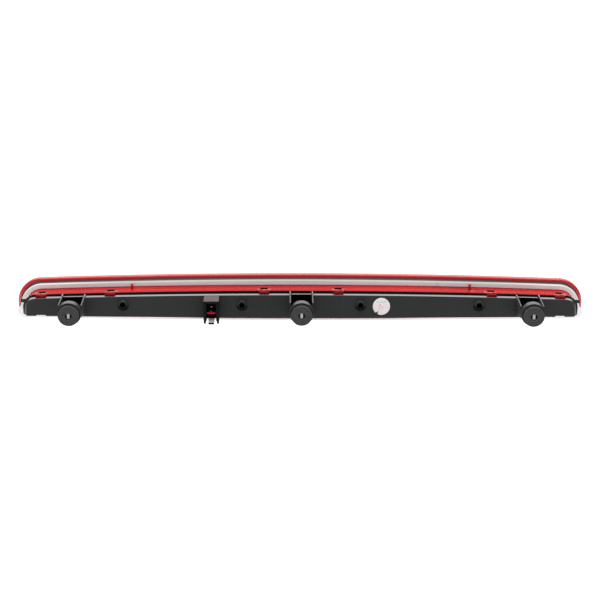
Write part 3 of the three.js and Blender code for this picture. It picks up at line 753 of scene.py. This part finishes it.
connector_black = Finish("connector_black", IOR=1.5, Specular_IOR_Level=0.06)
faces_up = connector_black.facing("Z")
connector_height = connector_black.axis("Z")
off_centre = (connector_black.axis("X") - SOCKET_X).size()
connector_tint = connector_black.blend(
    connector_black.cloud(8), (0.004, 0.004, 0.004, 1), (0.008, 0.008, 0.008, 1))
# Painted highlight: up-facing faces of the black socket are a pale pink.
pink_top_highlight = faces_up.step(0.5, 0.98) * 0.75
connector_tint = connector_black.blend(pink_top_highlight, connector_tint, (0.17, 0.12, 0.12, 1))
# Painted shade: the inside of the socket is painted black.
in_socket = (1 - off_centre.step(4.6, 4.9)) * connector_height.within(-6.6, 11.9, 0.1)
connector_tint = connector_black.blend(in_socket, connector_tint, no_light)
# Painted light: the latch's sloping top, which lies in the socket's shade, is painted near white.
on_latch = connector_height.within(-8.5, -5.3, 0.1) * (1 - off_centre.step(3.1, 3.2))
latch_painted_light = on_latch * faces_up.step(0.4, 0.7)
connector_tint = connector_black.blend(latch_painted_light, connector_tint, (0.85, 0.84, 0.85, 1))
connector_black.feed("Base Color", connector_tint)
connector_black.feed("Roughness", 0.34 + connector_black.cloud(2) * 0.16)
connector_black.relief(connector_black.cloud(0.6, 2), 0.04, 0.4)


def behind_wall(z):
    """A corner of the socket that stands just clear of the rear wall."""
    return (wall_y(z) - 0.3, z)


header = prism("connector", [
    (MOUTH, SOCKET_BOTTOM), behind_wall(SOCKET_BOTTOM), behind_wall(SOCKET_TOP), (MOUTH, SOCKET_TOP),
], around(SOCKET_X, SOCKET_HALF), 0.5)
legs = []
leg = [(MOUTH, -9.7), (-29, -9.7), (-28, -5), (MOUTH, -5)]
for side in (-1, 1):
    width = sorted((SOCKET_X + side * 5.5, SOCKET_X + side * SOCKET_HALF))
    legs.append(prism("leg", leg, width, 0.35))
tongue = [(MOUTH + 0.2, -10.6), (MOUTH + 0.2, -8.5), (-34, -5.7), (-29, -5.3), (-29, -10.6)]
latch = prism("latch", tongue, (SOCKET_X - 3, SOCKET_X + 2.8), 0.3)
snout = block("snout", around(SOCKET_X, 5.4), (SOCKET_FLOOR, -18), (-2.1, 10.4), 0.3)
clear_width, before_mouth = around(SOCKET_X, SOCKET_OPEN_HALF), MOUTH - 2
opening = block("opening", clear_width, (before_mouth, SOCKET_FLOOR), (-3.1, SOCKET_OPEN_TOP), 0.3)
latch_gap = block("latch_gap", clear_width, (before_mouth, -29.5), (-7.6, -3.6), 0.3)
fused(header, [*legs, snout], [opening, latch_gap])
coated(fused(header, [latch]), connector_black)
kept(header, "connector_black", "connector_header")

lock_red = Finish("lock_red", IOR=1.52, Specular_IOR_Level=0.1)
lock_tint = lock_red.blend(lock_red.cloud(3), (0.50, 0.004, 0.030, 1), (0.74, 0.014, 0.07, 1))
# Painted shade: the lock's slab, deep in the socket, is painted near black; only the lip stays red.
slab_in_shade = lock_red.axis("Y").step(-34.6, -33.6)
lock_red.feed("Base Color", lock_red.blend(slab_in_shade, lock_tint, (0.012, 0.0005, 0.001, 1)))
lock_red.feed("Roughness", 0.3 + lock_red.cloud(1.5) * 0.15)
lock_red.relief(lock_red.cloud(0.8, 2), 0.04, 0.4)
lock = block("red_lock", around(SOCKET_X, LOCK_HALF), (-33.8, -27.1), (-2.8, 0.4), 0.3)
lip = block("lock_lip", around(SOCKET_X, LOCK_HALF), (-36.3, -33.2), (0.25, 1.65), 0.3)
coated(fused(lock, [lip]), lock_red)
kept(lock, "lock_red", "terminal_lock")

tin = Finish("bright_tin", Metallic=1.0)
tin.feed("Base Color", tin.blend(
    tin.cloud(2, 3, (1, 0.2, 1)), (0.74, 0.74, 0.75, 1), (0.88, 0.88, 0.88, 1)))
tin.feed("Roughness", 0.32 + tin.cloud(0.5, 3, (1, 0.1, 1)) * 0.2)
tin.relief(tin.cloud(0.3, 2, (1, 0.08, 1)), 0.01, 0.4)
for i, z in enumerate(BLADE_Z, 1):
    sides = [
        (-33, z - 0.15), (-31.5, z - 0.4), (-9, z - 0.4),
        (-9, z + 0.4), (-31.5, z + 0.4), (-33, z + 0.15),
    ]
    blade = prism(f"blade_{i}", sides, around(SOCKET_X, 1), 0.12, tin)
    kept(blade, "terminal_tin", f"terminal_blade_{i}")


# ---------------------------------------------------------------- mounting grommets
# Each cup holds a round push-in grommet of black EPDM rubber, with faint rings from its
# mould on the face, and a flat nylon pin that spreads it in the inner panel's hole.

HEAD_RADIUS, HEAD_FACE, HEAD_BACK, HEAD_HOLE = 10.35, -60.2, -57.6, 3.3
NECK_RADIUS, GROOVE_BACK, COLLAR_RADIUS, COLLAR_END = 8, -55, 10.1, CUP_FLOOR - 0.3
RING_RADII, PIN_REAR = (5.4, 7.4, 9.0), -59.4

black_rubber = Finish("black_rubber", IOR=1.45)
rubber_tint = black_rubber.blend(
    black_rubber.cloud(5, 5), (0.032, 0.032, 0.032, 1), (0.050, 0.049, 0.050, 1))
rubber_dust = black_rubber.cloud(1.6, 6).step(0.58, 0.72)
black_rubber.feed("Base Color", black_rubber.blend(
    rubber_dust * 0.22, rubber_tint, (0.13, 0.13, 0.13, 1)))
black_rubber.feed("Roughness", 0.62 + black_rubber.cloud(3) * 0.2)
black_rubber.relief(black_rubber.cloud(0.9, 4), 0.12, 0.6)

pin_nylon = Finish("grey_nylon", IOR=1.52)
pin_nylon.feed("Base Color", pin_nylon.blend(
    pin_nylon.cloud(1.5), (0.36, 0.355, 0.36, 1), (0.52, 0.515, 0.52, 1)))
pin_nylon.feed("Roughness", 0.4 + pin_nylon.cloud(1) * 0.2)
pin_nylon.relief(pin_nylon.cloud(0.7, 2), 0.06, 0.5)

face_rings = [(HEAD_HOLE, HEAD_FACE + 0.5), (HEAD_HOLE + 0.5, HEAD_FACE)]
for radius in RING_RADII:
    face_rings += [
        (radius - 0.35, HEAD_FACE), (radius - 0.12, HEAD_FACE + 0.22),
        (radius + 0.12, HEAD_FACE + 0.22), (radius + 0.35, HEAD_FACE),
    ]
grommet_section = [*face_rings, *softened([
    (9.6, HEAD_FACE), (HEAD_RADIUS, HEAD_FACE), (HEAD_RADIUS, HEAD_BACK), (NECK_RADIUS, HEAD_BACK),
    (NECK_RADIUS, GROOVE_BACK), (COLLAR_RADIUS, GROOVE_BACK), (COLLAR_RADIUS, COLLAR_END),
    (HEAD_HOLE, COLLAR_END),
], 0.7, 5, True)]
for x, axis_z, name in zip(ARM_X, ARM_AXIS_Z, ARM_NAMES):
    head = turned(f"grommet_{name}", grommet_section, x, axis_z, 128, True, black_rubber)
    kept(head, "grommet_rubber", f"mount_grommet_{name}")
    pin = block(
        f"centre_pin_{name}", around(x, 1.4), (PIN_REAR, COLLAR_END), around(axis_z, 2.7),
        0.5, pin_nylon)
    kept(pin, "pin_grey", f"grommet_pin_{name}")


# ---------------------------------------------------------------- inspection label
# A round sticker of matt white paper on the rear wall, with a nick torn out of its lower
# edge and a faint printed mark that says nothing.

LABEL_X, LABEL_Z, LABEL_RADIUS = 80.8, 3.7, 8.7
EDGE_POINTS, NICK_ANGLE, NICK_HALF, NICK_DEPTH = 160, 236, 7, 3.1

label_paper = Finish("label_paper", Roughness=0.8, IOR=1.4)
across = label_paper.axis("X") - LABEL_X
upward = label_paper.axis("Z") - LABEL_Z
paper_tint = label_paper.blend(label_paper.cloud(4), (0.72, 0.68, 0.69, 1), (0.90, 0.85, 0.86, 1))
print_area = across.within(-3.6, 2.4, 0.8) * upward.within(-4.2, 2.4, 0.8)
pink_print = print_area * label_paper.cloud(1.3).step(0.45, 0.6)
paper_tint = label_paper.blend(pink_print * 0.75, paper_tint, (0.80, 0.42, 0.46, 1))
bar_area = across.within(-5, 5.4, 0.3) * upward.within(3.9, 5, 0.35)
faint_bars = bar_area * label_paper.cloud(1.1).step(0.4, 0.55)
paper_tint = label_paper.blend(faint_bars * 0.6, paper_tint, (0.35, 0.33, 0.34, 1))
label_paper.feed("Base Color", paper_tint)
label_paper.relief(label_paper.cloud(0.7, 4), 0.05, 0.4)

random.seed(4)
edge_points = []
for i in range(EDGE_POINTS):
    angle = 2 * math.pi * i / EDGE_POINTS
    radius = LABEL_RADIUS - random.uniform(0, 0.05)
    nick = abs(math.degrees(angle) - NICK_ANGLE) / NICK_HALF
    if nick < 1:
        radius -= NICK_DEPTH * (1 - nick) ** 0.5 + random.uniform(-0.15, 0.15)
    edge_points.append((radius * math.cos(angle), radius * math.sin(angle)))
sticker_rings = []
for shrink, height in ((0.1, 0), (0, -0.08), (0, -0.2), (0.12, -0.28)):
    share = 1 - shrink / 9
    sticker_rings.append([(a * share, height, b * share) for a, b in edge_points])
sticker = skin("sticker", sticker_rings, label_paper, crease=50)
lean = Matrix.Rotation(-math.atan(WALL_SLOPE), 4, "X")
on_wall = Vector((LABEL_X, wall_y(LABEL_Z) - 0.12, LABEL_Z)) * MM
sticker.data.transform(Matrix.Translation(on_wall) @ lean)
kept(sticker, "label_paper", "inspection_label")


# ---------------------------------------------------------------- seal and screws
# A silicone cord lies in a groove of the tongue and seals it against the skirt. Four
# zinc-plated self-tapping screws reach through the bosses into the reflector.

silicone = Finish("grey_silicone", IOR=1.41)
silicone.feed("Base Color", silicone.blend(
    silicone.cloud(8), (0.22, 0.23, 0.24, 1), (0.30, 0.31, 0.32, 1)))
silicone.feed("Roughness", 0.5 + silicone.cloud(2) * 0.2)
silicone.relief(silicone.cloud(1), 0.03, 0.4)
cord_outer, cord_inner = inset(SKIRT, SKIRT_WALL + 0.1), inset(TONGUE, 0.8)
cord = skin("seal_cord", [
    ring(inset(cord_outer, 0.5), -5.2), ring(inset(cord_outer, 0.15), -5.05), ring(cord_outer, -4.7),
    ring(cord_outer, -3.9), ring(inset(cord_outer, 0.15), -3.55), ring(inset(cord_outer, 0.5), -3.4),
    ring(inset(cord_inner, -0.3), -3.4), ring(cord_inner, -3.7), ring(cord_inner, -4.9),
    ring(inset(cord_inner, -0.3), -5.2),
], silicone, True)
kept(cord, "seal_rubber", "lens_seal")

zinc = Finish("zinc_plate", Metallic=1.0)
zinc.feed("Base Color", zinc.blend(zinc.cloud(1.5), (0.55, 0.57, 0.60, 1), (0.72, 0.73, 0.74, 1)))
zinc.feed("Roughness", 0.28 + zinc.cloud(0.6) * 0.2)
zinc.relief(zinc.cloud(0.3), 0.01, 0.4)
SCREW_SEAT, HEAD_HIGH, HEAD_WIDE, SHANK, THREAD_TIP = -17.1, 1.7, 2.2, 1.05, -4.3
THREAD_TURNS, THREAD_START, THREAD_PITCH, THREAD_RADIUS = 9, 1.6, 1.1, 1.25
RECESS_DEPTH, RECESS_LONG, RECESS_NARROW = (SCREW_SEAT - 3, SCREW_SEAT - 0.8), 1.2, 0.3
thread = []
for k in range(THREAD_TURNS):
    y = SCREW_SEAT + THREAD_START + k * THREAD_PITCH
    thread += [(SHANK, y), (THREAD_RADIUS, y + 0.28), (THREAD_RADIUS, y + 0.36), (SHANK, y + 0.64)]
screw_profile = [
    (0.05, SCREW_SEAT - HEAD_HIGH), (1.3, SCREW_SEAT - HEAD_HIGH + 0.06),
    (1.9, SCREW_SEAT - 1.25), (HEAD_WIDE, SCREW_SEAT - 0.7), (HEAD_WIDE, SCREW_SEAT - 0.1),
    (HEAD_WIDE - 0.1, SCREW_SEAT), (SHANK, SCREW_SEAT), *thread,
    (0.3, THREAD_TIP), (0.05, THREAD_TIP + 0.2),
]
for i, place in enumerate(boss_places, 1):
    screw = turned(f"screw_{i}", screw_profile, place, BOSS_Z, 40, False, zinc)
    cross = [
        block("recess", around(place, a), RECESS_DEPTH, around(BOSS_Z, b), 0.08)
        for a, b in ((RECESS_LONG, RECESS_NARROW), (RECESS_NARROW, RECESS_LONG))
    ]
    coated(fused(screw, [], cross), zinc)
    kept(screw, "screw_zinc", f"housing_screw_{i}")


# ---------------------------------------------------------------- light engine
# Sixteen white-bodied LEDs stand in front of a green glass-epoxy board. Its rear carries a
# driver chip, a diode, a capacitor and three resistors.

LED_PITCH, LED_Z = BOSS_PITCH / 4, 2.1
LED_X = [(i - 7.5) * BOSS_PITCH / 4 for i in range(16)]
BOARD_REAR = -10.8

solder_mask = Finish("solder_mask", IOR=1.5, Coat_Weight=0.3)
traces = solder_mask.node(
    "TexBrick", {"offset": 0.4},
    {"Vector": solder_mask.place, "Scale": 90.0, "Mortar Size": 0.012}, 1)
mask_tint = solder_mask.blend(solder_mask.cloud(12), (0.012, 0.11, 0.045, 1), (0.02, 0.15, 0.06, 1))
solder_mask.feed("Base Color", solder_mask.blend(traces * 0.6, mask_tint, (0.05, 0.28, 0.12, 1)))
solder_mask.feed("Roughness", 0.28 + solder_mask.cloud(3) * 0.15)
solder_mask.relief(traces, 0.03, 0.5)

led_plastic = Finish("led_package", IOR=1.5)
led_across = ((led_plastic.axis("X") / LED_PITCH + 64).fraction() - 0.5) * LED_PITCH
led_up = led_plastic.axis("Z") - LED_Z
phosphor = 1 - (led_across * led_across + led_up * led_up).root().step(0.95, 1.1)
body_tint = led_plastic.blend(led_plastic.cloud(0.8), (0.80, 0.79, 0.75, 1), (0.88, 0.87, 0.84, 1))
led_plastic.feed("Base Color", led_plastic.blend(phosphor, body_tint, (0.86, 0.52, 0.05, 1)))
led_plastic.feed("Roughness", 0.35 + led_plastic.cloud(0.5) * 0.2)
led_plastic.relief(led_plastic.cloud(0.4), 0.01, 0.3)

chip_epoxy = Finish("chip_epoxy", IOR=1.5)
chip_epoxy.feed("Base Color", chip_epoxy.blend(
    chip_epoxy.cloud(1), (0.010, 0.010, 0.011, 1), (0.022, 0.022, 0.024, 1)))
chip_epoxy.feed("Roughness", 0.45 + chip_epoxy.cloud(0.4) * 0.2)
chip_epoxy.relief(chip_epoxy.cloud(0.2), 0.01, 0.5)

ceramic = Finish("capacitor_ceramic", IOR=1.6)
ceramic.feed("Base Color", ceramic.blend(
    ceramic.cloud(0.8), (0.42, 0.30, 0.18, 1), (0.50, 0.37, 0.23, 1)))
ceramic.feed("Roughness", 0.4 + ceramic.cloud(0.4) * 0.2)
ceramic.relief(ceramic.cloud(0.2), 0.01, 0.4)

# Place along the lamp, width, thickness and height of each package.
chips = {
    "driver_chip": (-30, 5, 1.6, 4), "reverse_polarity_diode": (-110, 4.4, 2.2, 2.7),
    "ballast_resistor_1": (20, 6.3, 0.7, 3.2), "ballast_resistor_2": (32, 6.3, 0.7, 3.2),
    "ballast_resistor_3": (44, 6.3, 0.7, 3.2), "smoothing_capacitor": (-20, 3.2, 1.8, 2.5),
}
for name, (place, width, thick, height) in chips.items():
    coat = ceramic if name == "smoothing_capacitor" else chip_epoxy
    package = block(
        name + "_package", around(place, width / 2), (BOARD_REAR - thick, BOARD_REAR),
        around(LED_Z, height / 2), 0.12, coat)
    kept(package, "led_body" if coat is ceramic else "chip_black", name)
dish_profile = [(0.05, -7.45), (0.9, -7.45), (1.15, -6.9), (0.05, -6.9)]
for i, place in enumerate(LED_X, 1):
    package = block(f"led_package_{i}", around(place, 1.75), (-9, -7.1), around(LED_Z, 1.4), 0.15)
    dish = turned("dish", dish_profile, place, LED_Z, 32)
    coated(fused(package, [], [dish]), led_plastic)
    kept(package, "led_body", f"led_{i:02d}")
coated(nodes["led_board"], solder_mask)


# ---------------------------------------------------------------- reflector and inner optic
# A strip of metallised plastic surrounds each LED with a flared cell of its own. In front of
# it lies a clear acrylic plate with a round lens over each LED and a field of small pillows.

REFLECTOR_REAR, REFLECTOR_FRONT = -8.6, 2
CELL_WIDTH, CELL_HEIGHT, CELL_STEPS = (5.4, 27.5), (4.8, 10.6), 10
PILOT_RADIUS, PILOT_END = 1.4, -3.5
OPTIC_REAR, OPTIC_FRONT = 4, 6.2
CAP_RADIUS, CAP_RISE, CAP_STEPS = 5.6, 1.3, 12

mirror_coat = Finish("mirror_coat", Metallic=1.0)
mirror_coat.feed("Base Color", mirror_coat.blend(
    mirror_coat.cloud(20), (0.80, 0.81, 0.83, 1), (0.88, 0.88, 0.89, 1)))
mirror_coat.feed("Roughness", 0.08 + mirror_coat.cloud(4) * 0.08)
mirror_coat.relief(mirror_coat.cloud(6), 0.03, 0.3)


def cell_ring(place, share):
    """One step of a flared cell, 0 at the LED and 1 at the strip's front."""
    flare = share ** 0.55
    left, right = around(place, (CELL_WIDTH[0] + (CELL_WIDTH[1] - CELL_WIDTH[0]) * flare) / 2)
    low, high = around(LED_Z, (CELL_HEIGHT[0] + (CELL_HEIGHT[1] - CELL_HEIGHT[0]) * flare) / 2)
    y = REFLECTOR_REAR - 0.01 + (REFLECTOR_FRONT - REFLECTOR_REAR + 0.02) * share
    corners = [(left, low), (right, low), (right, high), (left, high)]
    return [(x, y, z) for x, z in softened(corners, 1.2)]


strip = inset(TONGUE, 2.6)
reflector = skin("reflector_strip", [
    ring(inset(strip, 0.3), REFLECTOR_REAR), ring(strip, REFLECTOR_REAR + 0.3),
    ring(strip, REFLECTOR_FRONT - 0.3), ring(inset(strip, 0.3), REFLECTOR_FRONT),
])
shares = [k / CELL_STEPS for k in range(CELL_STEPS + 1)]
cells = [skin("cell", [cell_ring(x, share) for share in shares]) for x in LED_X]
pilot = [
    (0.05, REFLECTOR_REAR - 1), (PILOT_RADIUS, REFLECTOR_REAR - 1),
    (PILOT_RADIUS, PILOT_END), (0.05, PILOT_END),
]
pilots = [turned("pilot", pilot, x, BOSS_Z, 24) for x in boss_places]
coated(fused(reflector, [], [*cells, *pilots]), mirror_coat)
kept(reflector, "metallised", "reflector")

clear_acrylic = Finish("clear_acrylic", IOR=1.49, Transmission_Weight=0.6)
clear_acrylic.feed("Base Color", clear_acrylic.blend(
    clear_acrylic.cloud(30), (0.86, 0.88, 0.89, 1), (0.93, 0.94, 0.95, 1)))
clear_acrylic.feed("Roughness", 0.05 + clear_acrylic.cloud(6) * 0.05)
pillows = clear_acrylic.node(
    "TexVoronoi", {"feature": "SMOOTH_F1"},
    {"Vector": clear_acrylic.place, "Scale": 1 / (3.2 * MM), "Randomness": 0.0, "Smoothness": 0.2})
clear_acrylic.relief(1 - pillows, 0.8, 0.8)
plate = inset(SKIRT, SKIRT_WALL + 0.3)
optic = skin("optic_plate", [
    ring(inset(plate, 0.25), OPTIC_REAR), ring(plate, OPTIC_REAR + 0.25),
    ring(plate, OPTIC_FRONT - 0.25), ring(inset(plate, 0.25), OPTIC_FRONT),
])
cap_angles = [math.pi / 2 * k / CAP_STEPS for k in range(CAP_STEPS, 0, -1)]
round_lens = [
    (0.05, OPTIC_FRONT - 0.5), (CAP_RADIUS, OPTIC_FRONT - 0.5),
    *[(CAP_RADIUS * math.sin(a), OPTIC_FRONT + CAP_RISE * math.cos(a)) for a in cap_angles],
    (0.05, OPTIC_FRONT + CAP_RISE),
]
lenses = [turned("round_lens", round_lens, x, LED_Z, 64) for x in LED_X]
coated(fused(optic, lenses), clear_acrylic)
kept(optic, "clear_optic", "inner_optic")
